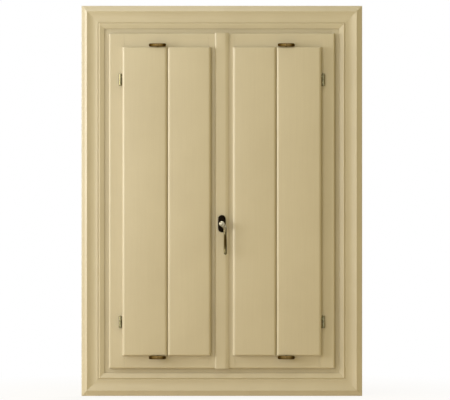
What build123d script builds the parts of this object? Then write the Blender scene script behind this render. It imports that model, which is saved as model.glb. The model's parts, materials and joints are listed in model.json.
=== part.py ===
from build123d import *
from math import acos, cos, pi, radians, sin, tan
import os

# A two-sash wooden casement window in a moulded casing, with a boarded shutter on the room side of each sash.
# Millimetres. X runs to the right as seen from the room, Y from the room to the outdoors, Z up. The origin
# lies on the wall plane, at the middle of the casing's bottom edge. The right sash opens first and carries
# the handle.

# Cuts run past the wood by this much, so that no skin is left
overrun = 1

# Casing: one moulded architrave section, mitred at four corners
casing_width = 1010
casing_height = 1404
casing_face = 82
casing_thick = 12.5
casing_wall_strip = 34
casing_relief = 2
casing_bevel_shares = [(0, 0.34), (0.207, 1.0)]
casing_cove_shares = [(0.22, 0.99), (0.463, 0.59), (0.715, 0.63)]
casing_bead_shares = [(0.722, 0.47), (0.748, 0.47), (0.787, 0.74), (0.805, 0.74), (1.0, 0.43)]

# Fixed frame behind the casing, with a stop for the sashes on its outdoor side
frame_lap = 44
frame_nose = 28
frame_depth = 68
frame_stop = 14
frame_stop_depth = 18
frame_tenon = 40
fixing_radius = 4
fixing_inset = 300

# Weather seal on the stop, and the folded drip flashing under the sill
seal_width = 6
seal_clearance = 0.3
flashing_sheet = 2
flashing_leg = 24
flashing_reach = 42
flashing_fall = 9
flashing_nose = 14

# Sashes: a lip laps the frame on the room side, the body stands inside the frame
sash_reveal = 17
sash_gap = 4
sash_lip = 17
lip_gap = 3
lip_bevel = 5
stop_gap = 2
sash_round = 6
stile_face = 56
glass_lip = 20
meeting_sight = 47.5
tenon_thick = 14
tenon_shoulder = 5
tenon_length = 28
meeting_tenon = 17

# Meeting joint: the right sash laps the centre line, and both edges step back towards the outdoors
active_edge = 16
meeting_gap = 3
passive_step = 3
outdoor_step = 3
active_step = 4
passive_step_depth = 26

# Double glazing and its beads
pane_thick = 4
pane_cavity = 16
pane_edge_gap = 2
spacer_width = 8
bead_setback = 12
bead_depth = 14
bead_bevel = 7

# Strips over the meeting joint: the astragal in the room and a cover strip outdoors
astragal_width = 51
astragal_thick = 8
astragal_round = 7
strip_clearance = 1
cover_width = 40
cover_overlap = 7
cover_thick = 10
cover_round = 4
cover_end_gap = 3

# Corner pivots that carry the sashes, hidden in the lip's ends
pivot_inset = 6
pivot_depth = 9
pivot_eye = 5
pivot_plate = 3
pivot_tail_gap = 2
pivot_pin_radius = 2.5
pivot_pin = 12
bush_radius = 4
fit_clearance = 0.05
run_clearance = 0.3

# Shutters: two boards on three ledges, standing in front of the sash
shutter_side_margin = 48
shutter_top_margin = 51
shutter_bottom_margin = 48
shutter_inner_edge = 38.5
shutter_thick = 22
shutter_gap = 1
inner_board_width = 157
board_round = 11
board_end_round = 5
tongue_thick = 7
tongue_length = 7
ledge_width = 90
ledge_thick = 10
ledge_inset = 60
ledge_bevel = 4
ledge_clearance = 3

# Shutter hinges: two barrels on a pin, each with a stud screwed into the wood
hinge_radius = 5.5
hinge_height = 44
hinge_standoff = 2
hinge_edge_gap = 1
hinge_end_inset = 168
hinge_pin_radius = 3
hinge_pin = 18
hinge_stud_radius = 3.5
hinge_sash_stud = 26
hinge_board_stud = 24
hinge_bevel = 1.5

# Turn buttons that hold the shutters, on posts just beyond the shutters' ends
button_place = 231
button_offset = 7
button_length = 61
button_width = 12.5
button_thick = 5.5
button_bevel = 2.4
button_boss_radius = 5.8
button_boss = 1.2
button_clearance = 1.2
post_radius = 5.5
post_foot_radius = 6.5
post_foot = 3
post_tail = 12
screw_radius = 2
screw_tail = 10
screw_head_radius = 4.6
screw_head = 2.4

# Handle: an oval rosette and a cranked lever on a square spindle
handle_height = 620
rosette_length = 62
rosette_width = 28
rosette_thick = 10
rosette_wall = 1.6
rosette_round = 4
neck_radius = 8
neck_pilot_radius = 7
neck_pilot = 6
hub_radius = 9.5
grip_standoff = 30
lever_length = 111
lever_offset = 13
lever_path_shares = [(0, 0), (0.5, 0.09), (0.79, 0.21), (0.92, 0.36)]
lever_path_shares += [(0.94, 0.68), (1, 0.95), (1.01, 0.985), (1.015, 1)]
lever_width_shares = [0.86, 0.72, 0.56, 0.5, 0.58, 0.62, 0.5, 0.3]
lever_depth_shares = [0.66, 0.6, 0.52, 0.48, 0.52, 0.55, 0.44, 0.26]
spindle_width = 7
spindle_socket = 24
spindle_bore = 6

# Espagnolette in the right sash's meeting edge: a pinion drives two racks, which push the rods apart
gear_module = 1.5
gear_teeth = 11
gear_width = 8
gear_place = 16
pressure_angle = 20
pinion_addendum = 1.2
rack_addendum = 0.95
tooth_root_gap = 0.4
tooth_backlash = 0.3
pinion_hub_radius = 6.4
rack_back = 3.45
rack_spare = 7
upper_rack_phase_share = 0.5
rod_width = 6
rod_end_gap = 0.5
jog_height = 6
case_wall = 2
case_height = 52
faceplate_thick = 2.5
faceplate_width = 16
keep_length = 44
keep_thick = 2.5
keep_clearance = 0.6
keep_depth = 12

# Lines that the pieces share, worked out from the sizes above
centre_height = casing_height / 2
casing_edge = casing_width / 2
frame_edge = casing_edge - casing_face + frame_lap
frame_rise = casing_face - frame_lap
nose_edge = casing_edge - casing_face - frame_nose
nose_rise = casing_face + frame_nose
stop_edge = nose_edge - frame_stop
stop_rise = nose_rise + frame_stop
stop_face = frame_depth - frame_stop_depth
frame_tenon_front = (stop_face - tenon_thick) / 2
pivot_tail = frame_tenon_front - pivot_tail_gap
sash_edge = casing_edge - casing_face - sash_reveal
sash_bottom = casing_face + sash_reveal
sash_top = casing_height - sash_bottom
sash_front = -lip_gap - sash_lip
sash_back = stop_face - stop_gap
lip_back = -lip_gap
lip_width = frame_nose - sash_reveal + sash_gap
body_edge = sash_edge - lip_width
body_bottom = sash_bottom + lip_width
body_top = sash_top - lip_width
stile_edge = sash_edge - stile_face
sight_bottom = sash_bottom + stile_face
sight_top = sash_top - stile_face
glass_front = sash_front + bead_setback + bead_depth
glass_back = glass_front + pane_cavity + 2 * pane_thick
passive_edge = -active_edge - meeting_gap
astragal_front = sash_front - astragal_thick
pivot_x = sash_edge - pivot_inset
pivot_y = sash_front + pivot_depth
shutter_edge = sash_edge - shutter_side_margin
shutter_bottom = sash_bottom + shutter_bottom_margin
shutter_top = sash_top - shutter_top_margin
shutter_back = sash_front - shutter_gap
shutter_front = shutter_back - shutter_thick
board_joint = shutter_inner_edge + inner_board_width
hinge_x = shutter_edge + hinge_edge_gap + hinge_radius
hinge_y = sash_front - hinge_standoff - hinge_radius
hinge_heights = [sash_bottom + hinge_end_inset, sash_top - hinge_end_inset]
button_back = shutter_front - button_clearance
button_heights = {"lower": shutter_bottom - button_offset, "upper": shutter_top + button_offset}
rosette_front = astragal_front - rosette_thick
lever_y = rosette_front - grip_standoff
pitch_radius = gear_module * gear_teeth / 2
rod_travel = pitch_radius * pi / 2
tooth_pitch = gear_module * pi
gear_front = gear_place - gear_width / 2
gear_back = gear_place + gear_width / 2
rack_root = pitch_radius + pinion_addendum + tooth_root_gap
rack_outer = rack_root + rack_back
rod_inner = rack_outer - rod_width
case_front = gear_front - run_clearance - case_wall
case_back = gear_back + run_clearance + case_wall
cut_reach = casing_width + casing_height


def block(x, y, z):
    """A box between two limits on each axis."""
    size = [high - low for low, high in (x, y, z)]
    middle = [(high + low) / 2 for low, high in (x, y, z)]
    return Pos(*middle) * Box(*size)


def prism_x(points, x):
    """An outline of (y, z) points carried along X."""
    face = make_face(Plane.YZ * Polyline(*points, close=True))
    return Pos(x[0], 0, 0) * extrude(face, x[1] - x[0], dir=(1, 0, 0))


def prism_y(points, y):
    """An outline of (x, z) points carried along Y."""
    face = make_face(Plane.XZ * Polyline(*points, close=True))
    return Pos(0, y[0], 0) * extrude(face, y[1] - y[0], dir=(0, 1, 0))


def rod_x(radius, x, y, z):
    """A round bar along X."""
    return Pos((x[0] + x[1]) / 2, y, z) * Rot(0, 90, 0) * Cylinder(radius, x[1] - x[0])


def rod_y(radius, x, y, z):
    """A round bar along Y."""
    return Pos(x, (y[0] + y[1]) / 2, z) * Rot(90, 0, 0) * Cylinder(radius, y[1] - y[0])


def rod_z(radius, x, y, z):
    """A round bar along Z."""
    return Pos(x, y, (z[0] + z[1]) / 2) * Cylinder(radius, z[1] - z[0])


def group(pieces):
    """Separate solids kept together as one named piece."""
    return Compound([solid for piece in pieces for solid in piece.solids()])


def on_left(piece):
    """The same piece on the other side of the centre line."""
    return mirror(piece, about=Plane.YZ)


def mitred_sides(profile, width, height, inward, centre):
    """Bars of one (depth, inward) profile round a rectangle, mitred at the corners, keyed by side."""
    sides = {}
    runs = {"bottom": (0, width, height), "right": (-90, height, width)}
    runs |= {"top": (180, width, height), "left": (90, height, width)}
    for side, (turn, length, across) in runs.items():
        bar = Pos(-length / 2, 0, 0) * extrude(profile, length, dir=(1, 0, 0))
        for end in (-1, 1):
            past = end * (length / 2 + overrun)
            tip = end * (length / 2 - inward - overrun)
            corner = [(past, -overrun), (past, inward + overrun), (tip, inward + overrun)]
            bar -= prism_y(corner, (-cut_reach, cut_reach))
        sides[side] = Pos(*centre) * Rot(0, turn, 0) * Pos(0, 0, -across / 2) * bar
    return sides


def joined_members(ring, x, z, tenon_y, tenon_x, tenon_z):
    """Splits a rectangular ring into two posts and two rails, with the rails' tenons let into the posts."""
    below = block((x[0], x[1]), (-cut_reach, cut_reach), (-cut_reach, z[0]))
    above = block((x[0], x[1]), (-cut_reach, cut_reach), (z[1], cut_reach))
    middle = (x[0] + x[1]) / 2
    left_half = block((-cut_reach, middle), (-cut_reach, cut_reach), (-cut_reach, cut_reach))
    right_half = block((middle, cut_reach), (-cut_reach, cut_reach), (-cut_reach, cut_reach))
    rails = {"bottom": ring & below, "top": ring & above}
    posts = ring - below - above
    posts = {"left": posts & left_half, "right": posts & right_half}
    for place, span in tenon_z.items():
        for side, reach in (("left", (x[0] - tenon_x[0], x[0])), ("right", (x[1], x[1] + tenon_x[1]))):
            tenon = block(reach, tenon_y, span)
            rails[place] += tenon
            posts[side] -= tenon
    return posts | rails


def casing_profile():
    """Outer bevel, cove, quirk and bevelled bead, with a relief groove in the back."""
    def at(share):
        return (-casing_thick * share[1], casing_face * share[0])

    relief = [(0, casing_face), (0, frame_rise), (-casing_relief, frame_rise)]
    relief += [(-casing_relief, casing_wall_strip), (0, casing_wall_strip), (0, 0)]
    with BuildSketch(Plane.YZ) as sketch:
        with BuildLine():
            Polyline((0, 0), *[at(share) for share in casing_bevel_shares], at(casing_cove_shares[0]))
            ThreePointArc(*[at(share) for share in casing_cove_shares])
            Polyline(at(casing_cove_shares[-1]), *[at(share) for share in casing_bead_shares], *relief)
        make_face()
    return sketch.sketch


def casing_pieces():
    """Four lengths of the casing moulding, mitred round the window."""
    sides = mitred_sides(
        casing_profile(), casing_width, casing_height, casing_face, (0, 0, centre_height)
    )
    return {f"casing_{side}": bar for side, bar in sides.items()}


def frame_pieces():
    """Jambs, head and sill with their stop, mortised for the tenons, pivots, keeps and wall screws."""
    ring = block((-frame_edge, frame_edge), (0, frame_depth), (frame_rise, casing_height - frame_rise))
    ring -= block((-nose_edge, nose_edge), (-overrun, stop_face), (nose_rise, casing_height - nose_rise))
    ring -= block(
        (-stop_edge, stop_edge), (-overrun, frame_depth + overrun), (stop_rise, casing_height - stop_rise)
    )
    tenon_y = (frame_tenon_front, frame_tenon_front + tenon_thick)
    low = (frame_rise + tenon_shoulder, nose_rise - tenon_shoulder)
    high = (casing_height - low[1], casing_height - low[0])
    parts = joined_members(
        ring,
        (-nose_edge, nose_edge),
        (stop_rise, casing_height - stop_rise),
        tenon_y,
        (frame_tenon, frame_tenon),
        {"bottom": low, "top": high},
    )
    holes = [
        rod_x(fixing_radius, (nose_edge - overrun, frame_edge + overrun), stop_face / 2, height)
        for height in (fixing_inset, casing_height - fixing_inset)
    ]
    jamb = parts["right"] - holes - pivot_brackets()
    return {
        "frame_sill": parts["bottom"] - keep_mortise("sill"),
        "frame_head": parts["top"] - keep_mortise("head"),
        "frame_jamb_right": jamb,
        "frame_jamb_left": on_left(jamb),
    }


def frame_seal():
    """A rubber strip round the stop's room face, for the sashes to close against."""
    outer = nose_edge - sash_gap / 2 - seal_width / 2
    inset = casing_edge - outer
    profile = make_face(
        Plane.YZ
        * Polyline(
            (stop_face, 0),
            (sash_back + seal_clearance, 0),
            (sash_back + seal_clearance, seal_width),
            (stop_face, seal_width),
            close=True,
        )
    )
    sides = mitred_sides(
        profile, 2 * outer, casing_height - 2 * inset, seal_width, (0, 0, centre_height)
    )
    return group(sides.values())


def drip_flashing():
    """Folded aluminium sheet on the sill's outdoor face: upright leg, sloping tread and drip nose."""
    top = stop_rise
    fold = top - flashing_leg
    face = frame_depth
    tip = face + flashing_reach
    low = fold - flashing_fall
    outline = [(face, top), (face + flashing_sheet, top), (face + flashing_sheet, fold)]
    outline += [(tip, low), (tip, low - flashing_nose), (tip - flashing_sheet, low - flashing_nose)]
    outline += [(tip - flashing_sheet, low - flashing_sheet), (face, fold - flashing_sheet)]
    return prism_x(outline, (-frame_edge, frame_edge))


def pivot_brackets():
    """Two steel plates let into the jamb, each with an eye and a pin on the sash's turning line."""
    brackets = []
    for end, edge in ((1, sash_top), (-1, sash_bottom)):
        outer = edge - end * run_clearance
        inner = outer - end * pivot_plate
        tip = inner - end * (run_clearance + pivot_pin)
        plate_z = sorted((outer, inner))
        plate = block((pivot_x - pivot_eye, pivot_x + pivot_eye), (pivot_y, pivot_tail), plate_z)
        plate += rod_z(pivot_eye, pivot_x, pivot_y, plate_z)
        brackets.append(plate + rod_z(pivot_pin_radius, pivot_x, pivot_y, sorted((inner, tip))))
    return group(brackets)


def pivot_notches():
    """Openings in the lip's two ends that leave the brackets free while the sash turns."""
    room = pivot_eye + run_clearance
    deep = pivot_plate + 2 * run_clearance
    notches = []
    x = (pivot_x - room, sash_edge + overrun)
    y = (pivot_y - room, lip_back + overrun)
    for z in ((sash_top - deep, sash_top + overrun), (sash_bottom - overrun, sash_bottom + deep)):
        notches.append(block(x, y, z))
    return notches


def pivot_bushes(bore):
    """Bearing bushes pressed into the lip below and above the brackets, or the holes that they fill."""
    deep = pivot_plate + 2 * run_clearance
    long = pivot_pin + run_clearance
    bushes = []
    for z in ((sash_top - deep - long, sash_top - deep), (sash_bottom + deep, sash_bottom + deep + long)):
        bush = rod_z(bush_radius, pivot_x, pivot_y, z)
        if bore:
            bush -= rod_z(pivot_pin_radius + fit_clearance, pivot_x, pivot_y, z)
        bushes.append(bush)
    return group(bushes)


def sash_ring(edge):
    """The whole sash before it is parted: lip, body, glass rebate and stepped meeting edge."""
    lip = block((edge, sash_edge), (sash_front, lip_back), (sash_bottom, sash_top))
    front = lip.faces().sort_by(Axis.Y)[0].edges().sort_by(Axis.X)[1:]
    lip = fillet(front, sash_round)
    back = lip.faces().sort_by(Axis.Y)[-1].edges().sort_by(Axis.X)[-1:]
    lip = chamfer(back, lip_bevel)
    ring = lip + block((edge, body_edge), (lip_back, sash_back), (body_bottom, body_top))
    ring -= block((meeting_sight, stile_edge), (-cut_reach, glass_back), (sight_bottom, sight_top))
    ring -= block(
        (meeting_sight + glass_lip, stile_edge - glass_lip),
        (-cut_reach, cut_reach),
        (sight_bottom + glass_lip, sight_top - glass_lip),
    )
    return ring


def hinge_studs():
    """The studs of the lower hinge halves, let into the stile's room face."""
    reach = (hinge_y, sash_front + hinge_sash_stud)
    return [
        rod_y(hinge_stud_radius, hinge_x, reach, height - hinge_height / 4)
        for height in hinge_heights
    ]


def post_tails():
    """The tails of the turn button posts, let into the rails."""
    return {
        place: rod_y(post_radius, button_place, (sash_front, sash_front + post_tail), height)
        for place, height in button_heights.items()
    }


def sash_members(edge):
    """Stiles and rails of one sash, with the holes for its hinges, pivots and turn buttons."""
    tenon_y = (glass_front, glass_front + tenon_thick)
    low = (body_bottom + tenon_shoulder, sight_bottom - tenon_shoulder)
    high = (sight_top + tenon_shoulder, body_top - tenon_shoulder)
    parts = joined_members(
        sash_ring(edge),
        (meeting_sight, stile_edge),
        (sight_bottom + glass_lip, sight_top - glass_lip),
        tenon_y,
        (meeting_tenon, tenon_length),
        {"bottom": low, "top": high},
    )
    tails = post_tails()
    hinge_stile = parts["right"] - pivot_notches() - pivot_bushes(False) - hinge_studs()
    return {
        "hinge_stile": hinge_stile,
        "meeting_stile": parts["left"],
        "top_rail": parts["top"] - tails["upper"],
        "bottom_rail": parts["bottom"] - tails["lower"],
    }


def glazing():
    """A sealed double pane in its rebate, and mitred beads that hold it from the room side."""
    pane_x = (meeting_sight + pane_edge_gap, stile_edge - pane_edge_gap)
    pane_z = (sight_bottom + pane_edge_gap, sight_top - pane_edge_gap)
    cavity = (glass_front + pane_thick, glass_back - pane_thick)
    inner = block(pane_x, (glass_front, cavity[0]), pane_z)
    outer = block(pane_x, (cavity[1], glass_back), pane_z)
    hollow_x = (pane_x[0] + spacer_width, pane_x[1] - spacer_width)
    hollow_z = (pane_z[0] + spacer_width, pane_z[1] - spacer_width)
    spacer = block(pane_x, cavity, pane_z) - block(hollow_x, cavity, hollow_z)
    front = glass_front - bead_depth
    outline = [(glass_front, 0), (front, 0), (front, glass_lip - bead_bevel)]
    outline += [(front + bead_bevel, glass_lip), (glass_front, glass_lip)]
    profile = make_face(Plane.YZ * Polyline(*outline, close=True))
    centre = ((meeting_sight + stile_edge) / 2, 0, centre_height)
    beads = mitred_sides(
        profile, stile_edge - meeting_sight, sight_top - sight_bottom, glass_lip, centre
    )
    return {
        "glass_panes": group([inner, outer]),
        "glass_spacer": spacer,
        "glazing_beads": group(beads.values()),
    }


def hinge_pins():
    """Lower hinge halves on the sash: barrel, pin and stud in one piece."""
    halves = []
    for height, stud in zip(hinge_heights, hinge_studs()):
        barrel = rod_z(hinge_radius, hinge_x, hinge_y, (height - hinge_height / 2, height))
        barrel = chamfer(barrel.faces().sort_by(Axis.Z)[0].edges(), hinge_bevel)
        pin = rod_z(hinge_pin_radius, hinge_x, hinge_y, (height, height + hinge_pin))
        halves.append(barrel + pin + stud)
    return group(halves)


def board_studs():
    """The studs of the upper hinge halves, let into the shutter's edge."""
    reach = (shutter_edge - hinge_board_stud, hinge_x)
    return [
        rod_x(hinge_stud_radius, reach, hinge_y, height + hinge_height / 4)
        for height in hinge_heights
    ]


def hinge_knuckles():
    """Upper hinge halves on the shutter: a barrel bored for the pin, and its stud."""
    halves = []
    for height, stud in zip(hinge_heights, board_studs()):
        seat = height + run_clearance
        barrel = rod_z(hinge_radius, hinge_x, hinge_y, (seat, height + hinge_height / 2))
        barrel = chamfer(barrel.faces().sort_by(Axis.Z)[-1].edges(), hinge_bevel)
        bore = (height, height + hinge_pin + run_clearance)
        halves.append(barrel + stud - rod_z(hinge_pin_radius + fit_clearance, hinge_x, hinge_y, bore))
    return group(halves)


def shutter_boards():
    """Two tongued and grooved boards with rounded edges, which leave a V at their joint."""
    deep = shutter_back - shutter_thick / 2 + board_round / 2
    tongue = block(
        (board_joint, board_joint + tongue_length),
        (deep - tongue_thick / 2, deep + tongue_thick / 2),
        (shutter_bottom, shutter_top),
    )
    boards = {}
    for name, x in (("inner", (shutter_inner_edge, board_joint)), ("outer", (board_joint, shutter_edge))):
        board = block(x, (shutter_front, shutter_back), (shutter_bottom, shutter_top))
        front = board.faces().sort_by(Axis.Y)[0].edges()
        board = fillet(front.filter_by(Axis.Z), board_round)
        ends = board.edges().filter_by(Axis.X).sort_by(Axis.Y)[:2]
        board = fillet(ends, board_end_round)
        boards[name] = board
    boards["inner"] += tongue
    boards["outer"] -= [tongue, *board_studs()]
    return {f"{name}_board": board for name, board in boards.items()}


def shutter_ledges():
    """Three bevelled ledges across the boards' backs, which stand in the sash's opening."""
    x = (meeting_sight + ledge_clearance, stile_edge - ledge_clearance)
    y = (shutter_back, shutter_back + ledge_thick)
    half = ledge_width / 2
    heights = (sight_bottom + ledge_inset + half, centre_height, sight_top - ledge_inset - half)
    ledges = []
    for height in heights:
        ledge = block(x, y, (height - half, height + half))
        ledges.append(chamfer(ledge.faces().sort_by(Axis.Y)[-1].edges(), ledge_bevel))
    return group(ledges)


def button_posts():
    """Turned posts that hold the buttons clear of the shutters."""
    posts = []
    for place, height in button_heights.items():
        post = rod_y(post_radius, button_place, (button_back, sash_front + post_tail), height)
        post += rod_y(post_foot_radius, button_place, (sash_front - post_foot, sash_front), height)
        bore = rod_y(screw_radius, button_place, (button_back, button_back + screw_tail), height)
        posts.append(post - bore)
    return group(posts)


def button_screws():
    """Pivot screws with low bevelled heads, driven into the posts."""
    under = button_back - button_thick - button_boss - 2 * run_clearance
    screws = []
    for height in button_heights.values():
        head = rod_y(screw_head_radius, button_place, (under - screw_head, under), height)
        head = chamfer(head.faces().sort_by(Axis.Y)[0].edges(), screw_head / 2)
        screws.append(head + rod_y(screw_radius, button_place, (under, button_back + screw_tail), height))
    return group(screws)


def turn_button(height):
    """One flat button with round ends, a bevelled rim and a low boss, bored for its pivot screw."""
    back = button_back - run_clearance
    front = back - button_thick
    with BuildSketch(Plane.XZ) as sketch:
        SlotOverall(button_length, button_width)
    button = Pos(button_place, back, height) * extrude(sketch.sketch, button_thick, dir=(0, -1, 0))
    button = chamfer(button.faces().sort_by(Axis.Y)[0].edges(), button_bevel)
    button += rod_y(button_boss_radius, button_place, (front - button_boss, front + button_bevel), height)
    return button - rod_y(screw_radius + fit_clearance, button_place, (front - button_boss, back), height)


def shared_sash(edge):
    """Everything that both sashes carry, on the right-hand side."""
    return sash_members(edge) | glazing() | {
        "pivot_bushes": pivot_bushes(True),
        "hinge_pins": hinge_pins(),
        "button_posts": button_posts(),
        "button_screws": button_screws(),
    }


def passive_sash():
    """The left sash, made as its mirror image: a twice stepped meeting edge with a cover strip outdoors."""
    edge = -passive_edge
    parts = shared_sash(edge)
    step = edge + passive_step
    rebate = step + outdoor_step
    parts["meeting_stile"] -= [
        block((edge - overrun, step), (sash_front + passive_step_depth, cut_reach), (0, casing_height)),
        block((edge - overrun, rebate), (glass_back, cut_reach), (0, casing_height)),
    ]
    tip = active_edge - active_step - cover_overlap
    ends = (stop_rise + cover_end_gap, casing_height - stop_rise - cover_end_gap)
    strip = block((tip, tip + cover_width), (sash_back, sash_back + cover_thick), ends)
    strip = fillet(strip.faces().sort_by(Axis.Y)[-1].edges().filter_by(Axis.Z), cover_round)
    parts["cover_strip"] = strip - block(
        (tip - overrun, rebate), (sash_back - overrun, sash_back + strip_clearance), (0, casing_height)
    )
    return parts


def gear_space():
    """What is cut from the right meeting stile for the espagnolette and the handle's spindle."""
    edge = -active_edge
    plate = edge + faceplate_thick
    side = faceplate_width / 2
    groove_x = (plate, -rod_inner + run_clearance)
    groove_y = (gear_front - run_clearance, gear_back + run_clearance)
    low = handle_height - case_height / 2
    high = handle_height + case_height / 2 + jog_height + rod_travel + run_clearance
    return [
        block((edge - overrun, plate), (gear_place - side, gear_place + side), (0, casing_height)),
        block(groove_x, groove_y, (0, casing_height)),
        block((plate, rack_outer + run_clearance + case_wall), (case_front, case_back), (low, high)),
        rod_y(spindle_bore, 0, (sash_front - overrun, case_front), handle_height),
        block((edge - overrun, edge + active_step), (glass_back, cut_reach), (0, casing_height)),
    ]


def astragal():
    """The moulded strip that covers the meeting joint in the room, bored for the spindle."""
    half = astragal_width / 2
    strip = block((-half, half), (astragal_front, sash_front), (sash_bottom, sash_top))
    strip = fillet(strip.faces().sort_by(Axis.Y)[0].edges().filter_by(Axis.Z), astragal_round)
    lap_y = (sash_front - strip_clearance, sash_front + overrun)
    strip -= block((-half - overrun, -active_edge), lap_y, (0, casing_height))
    return strip - rod_y(spindle_bore, 0, (astragal_front - overrun, sash_front + overrun), handle_height)


def oval(length, width, thick):
    """An upright slot-shaped plate whose back lies on the astragal."""
    with BuildSketch(Plane.XZ) as sketch:
        SlotOverall(length, width, rotation=90)
    return Pos(0, astragal_front, handle_height) * extrude(sketch.sketch, thick, dir=(0, -1, 0))


def rosette():
    """A cast base under a drawn cover with a rounded rim, both bored for the lever's pilot."""
    shrink = 2 * rosette_wall
    cover = oval(rosette_length, rosette_width, rosette_thick)
    cover = fillet(cover.faces().sort_by(Axis.Y)[0].edges(), rosette_round)
    base = oval(rosette_length - shrink, rosette_width - shrink, rosette_thick - rosette_wall)
    bore_y = (rosette_front - overrun, astragal_front + overrun)
    bore = rod_y(neck_pilot_radius + fit_clearance, 0, bore_y, handle_height)
    return {"rosette_base": base - bore, "rosette_cover": cover - base - bore}


def gear_case():
    """Two bearing cheeks and a back, open to the edge and at both ends for the racks."""
    plate = -active_edge + faceplate_thick
    z = (handle_height - case_height / 2, handle_height + case_height / 2)
    outer = block((plate, rack_outer + run_clearance + case_wall), (case_front, case_back), z)
    inner_y = (gear_front - run_clearance, gear_back + run_clearance)
    outer -= block((plate - overrun, rack_outer + run_clearance), inner_y, z)
    return outer - rod_y(pinion_hub_radius + fit_clearance, 0, (case_front, case_back), handle_height)


def gear_faceplate():
    """A flat steel strip let into the meeting edge over the rods."""
    edge = -active_edge
    side = faceplate_width / 2
    return block(
        (edge, edge + faceplate_thick), (gear_place - side, gear_place + side), (body_bottom, body_top)
    )


def active_sash():
    """The right sash, which laps the centre line and carries the handle and the espagnolette."""
    parts = shared_sash(-active_edge)
    parts["meeting_stile"] -= gear_space()
    parts |= rosette()
    parts |= {"astragal": astragal(), "gear_case": gear_case(), "gear_faceplate": gear_faceplate()}
    return parts


def handle_lever():
    """A turned neck and hub with a cranked grip lofted through ellipses, socketed for the spindle."""
    neck = rod_y(neck_radius, 0, (lever_y, rosette_front - run_clearance), handle_height)
    pilot = rod_y(
        neck_pilot_radius, 0, (rosette_front - run_clearance, rosette_front + neck_pilot), handle_height
    )
    hub = rod_y(hub_radius, 0, (lever_y - neck_radius, lever_y + neck_radius), handle_height)
    hub = fillet(hub.edges(), neck_radius / 2)
    places = [
        Vector(lever_offset * right, lever_y, handle_height - lever_length * down)
        for right, down in lever_path_shares
    ]
    path = Spline(*places)
    sections = []
    for place, wide, deep in zip(places, lever_width_shares, lever_depth_shares):
        along = path.tangent_at(path.param_at_point(place))
        plane = Plane(origin=place, x_dir=(0, 1, 0), z_dir=along)
        sections.append(plane * Ellipse(hub_radius * deep, hub_radius * wide))
    grip = loft(sections)
    half = spindle_width / 2
    socket = block(
        (-half, half),
        (rosette_front + neck_pilot - spindle_socket, rosette_front + neck_pilot),
        (handle_height - half, handle_height + half),
    )
    return neck + pilot + hub + grip - socket


def handle_spindle():
    """The square bar from the lever's socket through the pinion."""
    half = spindle_width / 2
    return block(
        (-half, half),
        (rosette_front + neck_pilot - spindle_socket, case_back),
        (handle_height - half, handle_height + half),
    )


def handle_pinion():
    """An involute pinion with bearing hubs, bored square for the spindle."""
    base = pitch_radius * cos(radians(pressure_angle))
    root = pitch_radius - rack_addendum - tooth_root_gap
    tip = pitch_radius + pinion_addendum
    spread = tan(radians(pressure_angle)) - radians(pressure_angle)
    half_pitch = (tooth_pitch / 2 - tooth_backlash) / (2 * pitch_radius)
    flank = []
    for radius in (root, base, (base + pitch_radius) / 2, pitch_radius, (pitch_radius + tip) / 2, tip):
        lean = acos(min(base / radius, 1))
        flank.append((radius, half_pitch + spread - (tan(lean) - lean)))
    outline = []
    for tooth in range(gear_teeth):
        middle = tooth * 2 * pi / gear_teeth
        outline += [(r * cos(middle - turn), r * sin(middle - turn)) for r, turn in flank]
        outline += [(r * cos(middle + turn), r * sin(middle + turn)) for r, turn in reversed(flank)]
    wheel = Pos(0, 0, handle_height) * prism_y(outline, (gear_front, gear_back))
    wheel += rod_y(pinion_hub_radius, 0, (case_front, case_back), handle_height)
    return wheel - handle_spindle()


def rack_outline(side, low, high, shift):
    """A toothed bar's (x, z) outline: a flat back outside and straight-flanked teeth towards the pinion."""
    lean = tan(radians(pressure_angle))
    half = (tooth_pitch / 2 - tooth_backlash) / 2
    foot = half + (rack_root - pitch_radius) * lean
    crown = half - rack_addendum * lean
    points = [(rack_outer, low), (rack_root, low)]
    teeth = int((high - low - 2 * foot) / tooth_pitch)
    first = -int((-low - foot) / tooth_pitch + shift) + shift
    for step in range(teeth):
        middle = (first + step) * tooth_pitch
        tip = pitch_radius - rack_addendum
        points += [(rack_root, middle - foot), (tip, middle - crown)]
        points += [(tip, middle + crown), (rack_root, middle + foot)]
    points += [(rack_root, high), (rack_outer, high)]
    return [(side * x, z + handle_height) for x, z in points]


def lower_rod():
    """The rack on the pinion's left and the rod below it, down to the sash's foot."""
    rack_top = rod_travel + rack_spare
    rack_foot = -rack_spare
    y = (gear_front, gear_back)
    shoulder = handle_height - case_height / 2
    rod = prism_y(rack_outline(-1, rack_foot, rack_top, 0), y)
    rod += block((-rack_outer, -rack_root), y, (shoulder, handle_height + rack_foot))
    return rod + block((-rack_outer, -rod_inner), y, (body_bottom + rod_end_gap, shoulder))


def upper_rod():
    """The rack on the pinion's right, a jog across above the gear case, and the rod to the sash's top."""
    rack_top = rack_spare
    rack_foot = -rod_travel - rack_spare
    y = (gear_front, gear_back)
    jog = handle_height + case_height / 2
    rod = prism_y(rack_outline(1, rack_foot, rack_top, upper_rack_phase_share), y)
    rod += block((rack_root, rack_outer), y, (handle_height + rack_top, jog))
    rod += block((-rack_outer, rack_outer), y, (jog, jog + jog_height))
    return rod + block((-rack_outer, -rod_inner), y, (jog + jog_height, body_top - rod_end_gap))


def keep_slot():
    """The rod's section in plan with its clearance, as (x, y) limits."""
    x = (-rack_outer - keep_clearance, -rod_inner + keep_clearance)
    return x, (gear_front - keep_clearance, gear_back + keep_clearance)


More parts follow.
